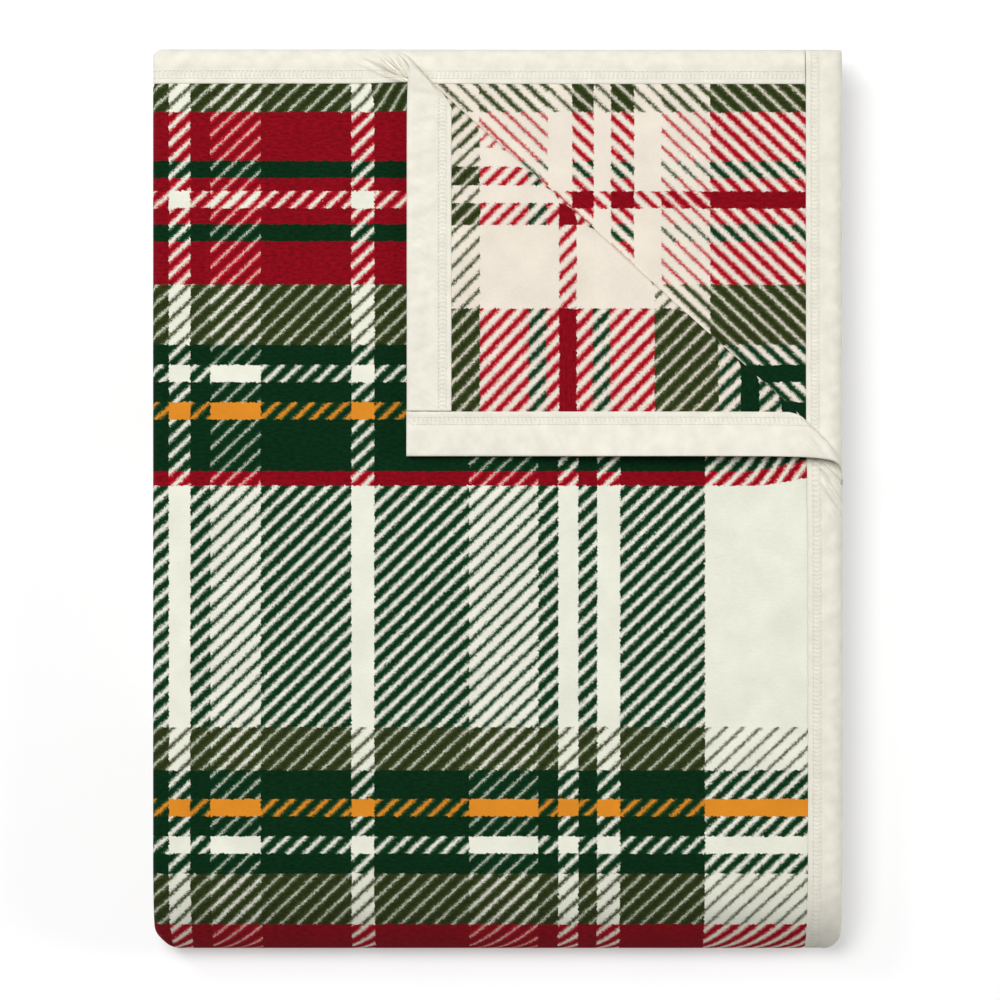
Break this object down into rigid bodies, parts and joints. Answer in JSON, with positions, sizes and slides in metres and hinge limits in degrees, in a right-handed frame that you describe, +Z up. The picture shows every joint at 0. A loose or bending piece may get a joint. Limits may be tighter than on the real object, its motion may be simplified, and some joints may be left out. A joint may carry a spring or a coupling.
{
  "type": "camp blanket",
  "caption": "Folded tartan camp blanket with cream bound, chain-stitched edges and one corner turned back over the stack.",
  "frame": {"origin": "centre of the folded outline on the surface the blanket lies on", "axes": "+Z up through the stack, +X to the bound side edges, +Y to the bound end edges"},
  "size_m": [0.3851, 0.5011, 0.0507],
  "materials": {
    "tartan_cloth": "brushed jacquard tartan in crimson, dark green, olive, orange and cream",
    "binding_tape": "matte cream brushed tape, softly puckered along its seam",
    "stitching_thread": "satin cream sewing thread"
  },
  "bodies": {
    "folded_stack": {"cloth": "tartan_cloth", "right_side_binding": "binding_tape", "right_side_needle_stitching": "stitching_thread", "right_side_looper_stitching": "stitching_thread", "left_side_binding": "binding_tape", "left_side_needle_stitching": "stitching_thread", "left_side_looper_stitching": "stitching_thread", "top_end_binding": "binding_tape", "top_end_needle_stitching": "stitching_thread", "top_end_looper_stitching": "stitching_thread", "bottom_end_binding": "binding_tape", "bottom_end_needle_stitching": "stitching_thread", "bottom_end_looper_stitching": "stitching_thread"},
    "turned_corner": {"corner_cloth": "tartan_cloth", "corner_right_side_binding": "binding_tape", "corner_right_side_needle_stitching": "stitching_thread", "corner_right_side_looper_stitching": "stitching_thread", "corner_top_end_binding": "binding_tape", "corner_top_end_needle_stitching": "stitching_thread", "corner_top_end_looper_stitching": "stitching_thread"}
  },
  "joints": [
    {"name": "corner_fold", "type": "hinge", "parent": "folded_stack", "child": "turned_corner", "pos_m": [0.07798, 0.136, 0.04785], "axis": [-0.7071, 0.7071, 0], "range_deg": [0, 178]}
  ]
}
